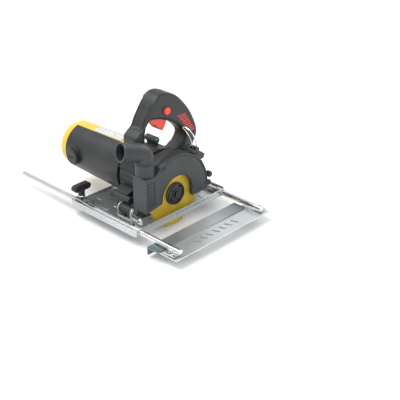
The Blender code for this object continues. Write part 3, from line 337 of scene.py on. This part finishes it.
SLOT_MATERIAL = {
    "galvanised": ZINC, "bright": BRIGHT, "bearing_casting": CAST, "black_plastic": BLACK,
    "guard_plastic": GUARD, "soft_black": SOFT, "yellow": YELLOW, "red": RED, "label": LABEL,
    "blade_paint": BLADE_COAT, "dark_steel": DARK, "lamination": LAMINATION, "commutator": COPPER,
    "carbon": CARBON,
}
NODE_SLOT = {part["node"]: part["material_slot"] for part in frame["record"]["subparts"]}


# The width of each node's rounded edges, in millimetres. The others take 0.4.
BEVEL = {
    "trigger": 1.4, "lock_button": 0.9, "clamp_knob_near": 2.2, "clamp_knob_far": 2.2, "latch_block": 0.8,
    "guard_front": 0.6, "guard_back": 0.6, "gearbox_housing": 0.7, "handle_left": 0.5, "handle_right": 0.5,
    "fence_plate": 0.3, "fence_angle": 0.5, "base_shoe": 0.5, "rating_label": 0.1, "blade": 0.1,
    "guide_rod_near": 0.6, "guide_rod_far": 0.6, "rod_clamp_near": 1.0, "rod_clamp_far": 1.0,
}
NODE_MATERIAL = {"fence_angle": ANGLE_ZINC, "fence_plate": PLATE_ZINC, "tie_screw": WIRE}
SOFT_NODES = {"handle_left", "handle_right", "motor_housing", "side_cover", "dust_elbow"}


def soften(obj, bevel, angle=35.0):
    """Smooth shading, sharp above the angle, and rounded edges."""
    obj.data.shade_smooth()
    obj.data.set_sharp_from_angle(angle=math.radians(angle))
    if bevel:
        modifier = obj.modifiers.new("soft_edges", "BEVEL")
        modifier.width = bevel * MM
        modifier.segments = 3 if bevel > 0.7 else 2
        modifier.limit_method = "ANGLE"
        modifier.angle_limit = math.radians(max(40.0, angle))
        modifier.use_clamp_overlap = True


for node_name, node in NODES.items():
    node.data.materials.clear()
    node.data.materials.append(NODE_MATERIAL.get(node_name, SLOT_MATERIAL[NODE_SLOT[node_name]]))
    soften(node, BEVEL.get(node_name, 0.4), 50.0 if node_name in SOFT_NODES else 35.0)

# ---------------------------------------------------------------- shapes, in millimetres

AXES = {
    "X": lambda a, u, v: (a, u, v),
    "Y": lambda a, u, v: (u, a, v),
    "Z": lambda a, u, v: (u, v, a),
}


def prism(outline, axis, low, high, bm=None):
    """An outline across the axis, extruded from low to high."""
    place = AXES[axis]
    bm = bm or bmesh.new()
    rings = [[bm.verts.new(place(level, u, v)) for u, v in outline] for level in (low, high)]
    bm.faces.new(rings[0])
    bm.faces.new(rings[1][::-1])
    count = len(outline)
    for i in range(count):
        j = (i + 1) % count
        bm.faces.new((rings[0][i], rings[0][j], rings[1][j], rings[1][i]))
    return bm


def box(low, high, bm=None):
    """A block between two opposite corners."""
    (x0, y0, z0), (x1, y1, z1) = low, high
    return prism(((x0, y0), (x1, y0), (x1, y1), (x0, y1)), "Z", z0, z1, bm)


def arc(radius, start, end, steps, centre=(0.0, 0.0)):
    """Points round a centre, from one angle to another, in degrees."""
    angles = (math.radians(start + (end - start) * i / steps) for i in range(steps + 1))
    return [(centre[0] + radius * math.cos(a), centre[1] + radius * math.sin(a)) for a in angles]


def rounded(low, high, radius, steps=4):
    """A rectangle's outline with round corners."""
    u0, v0 = low[0] + radius, low[1] + radius
    u1, v1 = high[0] - radius, high[1] - radius
    corners = ((u1, v1), (u0, v1), (u0, v0), (u1, v0))
    return [p for k, centre in enumerate(corners) for p in arc(radius, 90 * k, 90 * k + 90, steps, centre)]


def band(low, high, inner, outer):
    """The profile of a plain ring, for turned."""
    return ((low, inner), (low, outer), (high, outer), (high, inner))


def turned(axis, centre, profile, steps=40, bm=None):
    """A closed profile of (level, radius) points turned about an axis."""
    place = AXES[axis]
    bm = bm or bmesh.new()
    angles = [math.radians(360.0 * i / steps) for i in range(steps)]
    rings = []
    for level, radius in profile:
        if radius == 0:
            rings.append([bm.verts.new(place(level, *centre))])
        else:
            ring = [(radius * math.cos(a) + centre[0], radius * math.sin(a) + centre[1]) for a in angles]
            rings.append([bm.verts.new(place(level, *point)) for point in ring])
    for here, there in zip(rings, rings[1:] + rings[:1]):
        if len(here) == len(there) == 1:
            continue
        for i in range(steps):
            j = (i + 1) % steps
            corners = [here[i % len(here)], here[j % len(here)], there[j % len(there)], there[i % len(there)]]
            bm.faces.new(list(dict.fromkeys(corners)))
    return bm


def rod(path, radius, steps=12, bm=None):
    """A round bar along a path of points."""
    bm = bm or bmesh.new()
    points = [Vector(p) for p in path]
    turns = [2 * math.pi * k / steps for k in range(steps)]
    side = None
    rings = []
    for i, point in enumerate(points):
        ahead = (points[min(i + 1, len(points) - 1)] - points[max(i - 1, 0)]).normalized()
        side = side or ahead.orthogonal().normalized()
        side = (side - ahead * side.dot(ahead)).normalized()
        other = ahead.cross(side)
        spokes = [math.cos(a) * side + math.sin(a) * other for a in turns]
        rings.append([bm.verts.new(point + radius * spoke) for spoke in spokes])
    for here, there in zip(rings, rings[1:]):
        for k in range(steps):
            j = (k + 1) % steps
            bm.faces.new((here[k], here[j], there[j], there[k]))
    bm.faces.new(rings[0][::-1])
    bm.faces.new(rings[-1])
    return bm


def ribbon(path, inward, outward, axis, low, high, bm=None):
    """A band that follows a flat path, from outward of it to inward, as thick as low to high."""
    sides = []
    for i, point in enumerate(path):
        back, ahead = Vector(path[max(i - 1, 0)]), Vector(path[min(i + 1, len(path) - 1)])
        along = (ahead - back).normalized()
        sides.append(Vector((along.y, -along.x)))
    outer = [tuple(Vector(p) + n * outward) for p, n in zip(path, sides)]
    inner = [tuple(Vector(p) - n * inward) for p, n in zip(path, sides)]
    return prism(outer + inner[::-1], axis, low, high, bm)


def rib(bm, angle, inner, outer, half_width, low, high):
    """A straight rib that points away from the motor's axis, at an angle in degrees."""
    way = Vector((math.cos(math.radians(angle)), math.sin(math.radians(angle))))
    start, end = Vector(MOTOR_AXIS) + way * inner, Vector(MOTOR_AXIS) + way * outer
    ribbon([tuple(start), tuple(end)], half_width, half_width, "X", low, high, bm)


def piece(name, bm, body, slot, bevel=0.25, material=None, replaces=()):
    """Adds a drawn piece that moves with a body."""
    bmesh.ops.recalc_face_normals(bm, faces=bm.faces)
    bmesh.ops.scale(bm, verts=bm.verts, vec=(MM, MM, MM))
    bmesh.ops.translate(bm, verts=bm.verts, vec=CENTRE)
    mesh = bpy.data.meshes.new(name)
    bm.to_mesh(mesh)
    bm.free()
    obj = bpy.data.objects.new(name, mesh)
    bpy.context.scene.collection.objects.link(obj)
    mesh.materials.append(material or SLOT_MATERIAL[slot])
    soften(obj, bevel)
    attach(obj, body)
    if replaces:
        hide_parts(*replaces)
    return obj


def turned_to(bm, origin, direction):
    """Moves a shape drawn round +Z so that it stands at origin along the direction."""
    turn = Vector((0, 0, 1)).rotation_difference(Vector(direction)).to_matrix().to_4x4()
    bmesh.ops.transform(bm, matrix=Matrix.Translation(Vector(origin)) @ turn, verts=bm.verts)
    return bm


def screw_head(bm, axis, centre, level, radius=3.6, height=2.2, side=1):
    """A cheese head with a countersunk round socket."""
    top = level + side * height
    profile = (
        (level, radius), (top - side * 0.5, radius), (top, radius - 0.5), (top, radius * 0.5),
        (top - side * height * 0.6, radius * 0.42), (top - side * height * 0.6, 0), (level, 0),
    )
    return turned(axis, centre, profile, 18, bm=bm)


# ---------------------------------------------------------------- details


def guard_details():
    hood = arc(90.0, -5.0, 133.8, 60)
    bm = bmesh.new()
    inner = arc(87.4, -5.0, 133.0, 60) + [(-87.4, 62.4), (-87.4, -12.6)]
    prism(hood + [(-90.0, 65.0), (-90.0, -12.6)] + inner[::-1], "X", 11.4, 12.9, bm)
    for x0, x1 in ((-3.6, -1.9), (0.2, 2.0)):
        prism(arc(91.6, -6.0, 122.0, 56) + arc(89.4, 122.0, -6.0, 56), "X", x0, x1, bm)
    piece("guard_lips", bm, "machine", "guard_plastic", 0.3)
    bm = prism(arc(90.25, -6.0, 124.0, 56) + arc(89.0, 124.0, -6.0, 56), "X", -1.7, 0.0)
    piece("guard_seam", bm, "machine", "guard_plastic", 0.0, CARBON)
    bm = prism(arc(86.9, -5.0, 131.0, 56) + arc(84.6, 131.0, -5.0, 56), "X", 11.5, 12.15)
    for start in (0, 90):
        ribbon(arc(44.0, start, start + 90, 20), 0.15, 2.2, "X", 11.0, 12.2, bm)
    piece("guard_face_seam", bm, "machine", "guard_plastic", 0.0, CARBON)
    bm = bmesh.new()
    frame_sides = (
        ((-84, 2), (-82.6, 52)), ((-66, 2), (-64.6, 52)),
        ((-84, 2), (-64.6, 3.4)), ((-84, 50.6), (-64.6, 52)),
    )
    for (y0, z0), (y1, z1) in frame_sides:
        prism(((y0, z0), (y1, z0), (y1, z1), (y0, z1)), "X", 11.6, 13.0, bm)
    for z in (10, 18, 26, 34, 42):
        prism(rounded((-79.5, z - 1.6), (-69.5, z + 1.6), 1.5), "X", 11.6, 12.9, bm)
    piece("duct_panel", bm, "machine", "guard_plastic", 0.2)
    bm = bmesh.new()
    box((-27.6, -90.8, 61.6), (12.6, -89.4, 64.9), bm)
    box((11.4, -90.2, 61.6), (12.7, -66, 64.9), bm)
    box((-27.7, -90.2, 61.6), (-26.4, -58, 64.9), bm)
    piece("duct_collar", bm, "machine", "guard_plastic", 0.3)
    bm = bmesh.new()
    for angle in (2, 33):
        centre = arc(90.5, angle, angle, 1)[0]
        turned("X", centre, ((-9, 0), (-9, 3.4), (7.5, 3.4), (8.5, 2.6), (8.5, 0)), 18, bm=bm)
    piece("guard_clips", bm, "machine", "guard_plastic", 0.3)
    bm = bmesh.new()
    for centre in GUARD_SCREWS:
        profile = ((11.0, 4.4), (11.0, 6.8), (12.4, 6.8), (13.2, 6.2), (13.2, 4.4))
        turned("X", centre, profile, 24, bm=bm)
    piece("screw_seats", bm, "machine", "guard_plastic", 0.15)
    for number, centre in enumerate(GUARD_SCREWS, 1):
        name = f"guard_screw_{number}"
        bm = screw_head(bmesh.new(), "X", centre, 12.35, 3.7, 2.3)
        turned("X", centre, band(-14, 12.6, 0, 1.9), 12, bm=bm)
        piece(name + "_head", bm, "machine", "bright", 0.0, DARK, (name,))


def dust_details():
    mouth, heading = elbow_mouth()
    ring = ((-5.0, 18.4), (-5.0, 19.9), (-4.2, 20.3), (-0.9, 20.3), (-0.1, 19.6), (-0.1, 18.4))
    bm = turned_to(turned("Z", (0, 0), ring, 48), mouth, heading)
    piece("mouth_bead", bm, "dust_elbow", "guard_plastic", 0.15)
    bm = bmesh.new()
    ring = ((92.5, 19.0), (92.5, 20.8), (93.2, 21.2), (95.6, 21.2), (96.2, 20.6), (96.2, 19.0))
    turned("Z", PIPE, ring, 48, bm=bm)
    piece("swivel_ring", bm, "dust_elbow", "guard_plastic", 0.15)
    bm = bmesh.new()
    ring = ((65.2, 19.0), (65.2, 21.4), (66.6, 21.4), (68.2, 20.3), (68.2, 19.0))
    turned("Z", PIPE, ring, 48, bm=bm)
    ring = ((88.2, 19.0), (88.2, 20.6), (89.0, 21.0), (91.2, 21.0), (91.8, 20.4), (91.8, 19.0))
    turned("Z", PIPE, ring, 48, bm=bm)
    piece("spigot_rings", bm, "machine", "guard_plastic", 0.15)


def elbow_mouth():
    """The outlet's open end and the way it points."""
    bend, tilt = ELBOW_BEND_R, OUTLET_TILT
    flat = Vector((math.cos(OUTLET_AZIMUTH), math.sin(OUTLET_AZIMUTH), 0.0))
    up = Vector((0.0, 0.0, 1.0))
    centre = Vector((*PIPE, ELBOW_CENTRE_Z)) + flat * bend
    angle = math.pi / 2 - tilt
    along = flat * math.cos(tilt) + up * math.sin(tilt)
    end = centre - flat * bend * math.cos(angle) + up * bend * math.sin(angle) + along * OUTLET_REACH
    return end, along


def handle_details():
    front = [
        (-48, 133), (-41, 137), (-36, 141), (-33, 146.5), (-30, 153),
        (-25.4, 160.4), (-20, 168), (-12.9, 178), (-5, 187.3),
    ]
    bm = bmesh.new()
    for low, high in ((-85.6, -83.6), (-56.4, -54.4)):
        ribbon(front[::-1][:-1], 1.6, 1.2, "X", low, high, bm)
    for k in (1, -2):
        (y0, z0), (y1, z1) = front[k], front[k + 1]
        along = Vector((y1 - y0, z1 - z0)).normalized() * 2.0
        ribbon([(y0 + along.x, z0 + along.y), (y0, z0)], 1.6, 1.2, "X", -85.6, -54.4, bm)
    piece("front_panel", bm, "machine", "black_plastic", 0.3)
    bm = bmesh.new()
    for centre in HANDLE_SCREWS:
        screw_head(bm, "X", centre, -89.6, 3.4, 1.2, -1)
    piece("handle_screws", bm, "machine", "dark_steel", 0.0, DARK)
    bm = bmesh.new()
    for centre in HANDLE_SCREWS:
        turned("X", centre, ((-88.5, 4.2), (-88.5, 5.8), (-90.4, 5.4), (-90.4, 4.2)), 24, bm=bm)
    piece("handle_screw_rims", bm, "machine", "black_plastic", 0.15)


def motor_details():
    bm = bmesh.new()
    for side in (-1, 1):
        inside, outside = side * (BRUSH_CAP_Y + 4.0), side * (BRUSH_CAP_Y + 5.3)
        ring = ((inside, 12.4), (outside, 12.9), (outside, 15.0), (inside, 15.4))
        turned("Y", (BRUSH_CAP_X, MOTOR_AXIS[1]), ring, 36, bm=bm)
    piece("brush_cap_rings", bm, "machine", "black_plastic", 0.15)
    bm = bmesh.new()
    for radius in (14.0, 27.0, 39.0):
        proud = MOTOR_END_X - 1.7
        ring = (
            (MOTOR_END_X, radius), (proud, radius + 0.3), (proud, radius + 2.2), (MOTOR_END_X, radius + 2.5),
        )
        turned("X", MOTOR_AXIS, ring, 48, bm=bm)
    for angle in range(15, 360, 30):
        rib(bm, angle, 15.5, 39.5, 0.9, MOTOR_END_X - 1.5, MOTOR_END_X)
    piece("end_grille", bm, "machine", "yellow", 0.2)
    bm = bmesh.new()
    for centre in arc(33, 45, 315, 3, MOTOR_AXIS):
        screw_head(bm, "X", centre, MOTOR_END_X, 3.2, 1.6, -1)
    piece("end_screws", bm, "machine", "dark_steel", 0.0, DARK)
    bm = bmesh.new()
    for x in (-119.5, -116.0):
        turned("X", MOTOR_AXIS, band(x, x + 1.6, 55.0, 57.3), 64, bm=bm)
    piece("housing_ribs", bm, "machine", "yellow", 0.2, BLACK)


def gearbox_details():
    case_screws = [arc(CASE_SCREWS_R, angle, angle, 1, MOTOR_AXIS)[0] for angle in CASE_SCREW_ANGLES]
    bm = bmesh.new()
    for centre in case_screws:
        profile = ((-110.5, 0), (-110.5, 4.6), (-109.9, 5.2), (-72, 5.2), (-66, 3.0), (-64, 0))
        turned("X", centre, profile, 20, bm=bm)
    for angle in (160, 172, 184, 196):
        rib(bm, angle, 55.8, 58.4, 0.8, -102.0, -36.0)
    piece("case_bosses", bm, "machine", "black_plastic", 0.3)
    bm = bmesh.new()
    for centre in case_screws:
        screw_head(bm, "X", centre, -110.2, 3.0, 1.3, -1)
    piece("case_screws", bm, "machine", "dark_steel", 0.0, DARK)
    bm = bmesh.new()
    for x in (-60.5, -53.0, -45.5, -38.0):
        turned("X", HINGE_AXIS, band(x, x + 2.0, 8.4, 9.3), 28, bm=bm)
    for x in (-100.6, -96.0, -52.0, -49.5):
        turned("X", SPRING_TUBE, band(x, x + 2.0, 6.6, 7.7), 28, bm=bm)
    piece("barrel_rings", bm, "machine", "black_plastic", 0.15)
    bm = bmesh.new()
    turned("X", SPRING_TUBE, ((-102.0, 0), (-102.0, 3.2), (-100.8, 3.8), (-100.8, 0)), 20, bm=bm)
    turned("X", TIE_SCREW, ((-72.6, 4.4), (-71.6, 4.9), (-71.6, 6.0), (-72.6, 6.4)), 28, bm=bm)
    piece("tube_ends", bm, "machine", "bright", 0.15)
    # A thin dark disc in the gap between the motor housing's end and the gearbox paints the shade in that
    # gap.
    bm = turned("X", MOTOR_AXIS, band(-111.98, -111.72, 40.0, 57.0), 64)
    piece("case_gap_painted_shade", bm, "machine", "black_plastic", 0.0, CARBON)


def blade_details():
    bm = bmesh.new()
    front = far_face("outer_flange", 0)
    root = front - 0.6
    for radius, proud in ((21.5, front + 0.8), (13.0, front + 0.7)):
        ring = ((root, radius), (proud, radius + 0.3), (proud, radius + 1.9), (root, radius + 2.2))
        turned("X", (0, 0), ring, 56, bm=bm)
    for centre in arc(17.5, 45, 315, 3):
        proud = front + 0.7
        turned("X", centre, ((root, 1.3), (proud, 1.5), (proud, 2.5), (root, 2.9)), 18, bm=bm)
    piece("flange_rings", bm, "spindle_group", "dark_steel", 0.12)
    back, top = front - 0.2, front + 1.3
    bm = turned("X", (0, 0), ((back, 5.0), (back, 9.8), (front + 1.0, 9.8), (top, 9.3), (top, 5.0)), 40)
    piece("bolt_washer", bm, "spindle_group", "dark_steel", 0.1)


def far_face(node, axis):
    """The node's far face along an axis, in millimetres from the blade's centre."""
    return (max(corner[axis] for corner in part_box(node)) - CENTRE[axis]) / MM


def shoe_details():
    x1 = SHOE_RIGHT_X
    y0, y1 = SHOE_Y
    path = [(-160, y0 + 1.0)]
    path += arc(8.5, -90, 0, 6, (x1 - 9.5, y0 + 9.5))
    path += arc(8.5, 0, 90, 6, (x1 - 9.5, y1 - 9.5))
    path += [(-160, y1 - 1.0)]
    bm = rod([(x, y, RIM_Z) for x, y in path], 0.9)
    for y, side in ((y0, -1), (y1, 1)):
        for z in (-49.0, -43.5):
            low, high = sorted((y - side * 0.6, y + side * 0.55))
            box((-182, low, z), (x1 - 12, high, z + 1.6), bm)
    box((x1 - 0.6, y0 + 12, -49.0), (x1 + 0.5, y1 - 12, -47.4), bm)
    piece("rolled_rim", bm, "base", "galvanised", 0.35)
    bm = bmesh.new()
    for y in (-62, 0, 62):
        prism(rounded((-176, y - 5), (-112, y + 5), 4.8, 6), "Z", BEAD_ROOT_Z, -49.9, bm)
    prism(rounded((-104, 70), (-72, 88), 5, 6), "Z", BEAD_ROOT_Z, -50.1, bm)
    piece("floor_beads", bm, "base", "galvanised", 0.7)
    bm = bmesh.new()
    for x, y in ((-58, -96), (-58, -82), (-42, -82)):
        screw_head(bm, "Z", (x, y), -48.7, 3.0, 1.6)
    piece("bracket_screws", bm, "base", "bright", 0.0, WIRE)
    bm = bmesh.new()
    for y in ROD_Y.values():
        ring = ((13.0, 6.4), (13.0, 8.8), (14.8, 8.8), (15.6, 8.0), (15.6, 6.4))
        turned("X", (y, ROD_Z), ring, 28, bm=bm)
    piece("guide_collars", bm, "base", "galvanised", 0.15)


def fence_details():
    # A dark strip along each rod's upper far side paints the rod's dark reflection; the short marks next to
    # it make a scale.
    bm = bmesh.new()
    for y in ROD_Y.values():
        strip = arc(6.12, 26, 36, 2, (y, ROD_Z)) + arc(5.6, 36, 26, 2, (y, ROD_Z))
        prism(strip, "X", 18.0, 100.0, bm)
        mark = arc(6.12, 36, 46, 3, (y, ROD_Z)) + arc(5.6, 46, 36, 3, (y, ROD_Z))
        for k in range(9):
            x = 20.0 + 9.5 * k
            prism(mark, "X", x, x + 0.5, bm)
    piece("rod_painted_reflection_and_scale", bm, "fence", "dark_steel", 0.0, DARK)
    bm = bmesh.new()
    for x in (-379.6, 127.6):
        for y in ROD_Y.values():
            turned("X", (y, ROD_Z), ((x - 0.3, 0), (x - 0.3, 4.6), (x + 0.5, 4.9), (x + 0.5, 0)), 24, bm=bm)
    piece("rod_ends", bm, "fence", "dark_steel", 0.1, DARK)


def knob_details():
    for word, y in ROD_Y.items():
        bm = bmesh.new()
        for centre in arc(6.4, 0, 315, 7, (KNOB_X, y)):
            turned("Z", centre, band(-27, -19.4, 0, 0.9), 10, bm=bm)
        piece(f"knob_flutes_{word}", bm, "clamp_" + word, "soft_black", 0.0)
        ring = ((-27.4, 5.0), (-27.4, 7.6), (-26.4, 8.0), (-25.0, 7.2), (-25.0, 5.0))
        bm = turned("Z", (KNOB_X, y), ring, 28)
        piece(f"knob_collar_{word}", bm, "clamp_" + word, "bright", 0.15, WIRE)


guard_details()
dust_details()
handle_details()
motor_details()
gearbox_details()
blade_details()
shoe_details()
fence_details()
knob_details()

# ---------------------------------------------------------------- stage


def add_stage():
    """A wide pale floor just under the lowest point."""
    bm = bmesh.new()
    bmesh.ops.create_grid(bm, x_segments=1, y_segments=1, size=8.0)
    mesh = bpy.data.meshes.new("studio_floor")
    bm.to_mesh(mesh)
    bm.free()
    floor = bpy.data.objects.new("studio_floor", mesh)
    bpy.context.scene.collection.objects.link(floor)
    floor.location = (0, 0, -0.0005)
    mesh.materials.append(floor_material())


def add_light(name, place, size, watts):
    """A rectangular soft light, turned to the machine."""
    data = bpy.data.lights.new(name, "AREA")
    data.shape = "RECTANGLE"
    data.size, data.size_y = size
    data.energy = watts
    light = bpy.data.objects.new(name, data)
    bpy.context.scene.collection.objects.link(light)
    light.location = place
    light.rotation_mode = "QUATERNION"
    light.rotation_quaternion = (Vector(LIGHT_TARGET) - Vector(place)).to_track_quat("-Z", "Y")


def add_world():
    world = bpy.data.worlds.new("studio")
    bpy.context.scene.world = world
    world.use_nodes = True
    background = world.node_tree.nodes["Background"]
    background.inputs["Color"].default_value = (1.0, 1.0, 1.0, 1.0)
    background.inputs["Strength"].default_value = 0.80


def add_camera():
    data = bpy.data.cameras.new("camera")
    data.lens = CAMERA_LENS
    data.sensor_width = 36.0
    camera = bpy.data.objects.new("camera", data)
    bpy.context.scene.collection.objects.link(camera)
    level = math.cos(CAMERA_ELEVATION)
    back = Vector(
        (math.sin(CAMERA_AZIMUTH) * level, -math.cos(CAMERA_AZIMUTH) * level, math.sin(CAMERA_ELEVATION))
    )
    camera.location = at(*CAMERA_AT)
    camera.rotation_mode = "QUATERNION"
    camera.rotation_quaternion = (-back).to_track_quat("-Z", "Y")
    data.clip_start, data.clip_end = 0.05, 50.0
    bpy.context.scene.camera = camera


add_stage()
add_world()
add_light("key", (-0.5, -0.7, 1.9), (1.5, 1.2), 30)
add_light("fill", (1.8, -0.6, 0.9), (1.6, 1.4), 7)
add_light("back", (0.2, 1.7, 1.2), (1.8, 1.0), 10)
add_camera()
bpy.context.scene.view_settings.view_transform = "Standard"
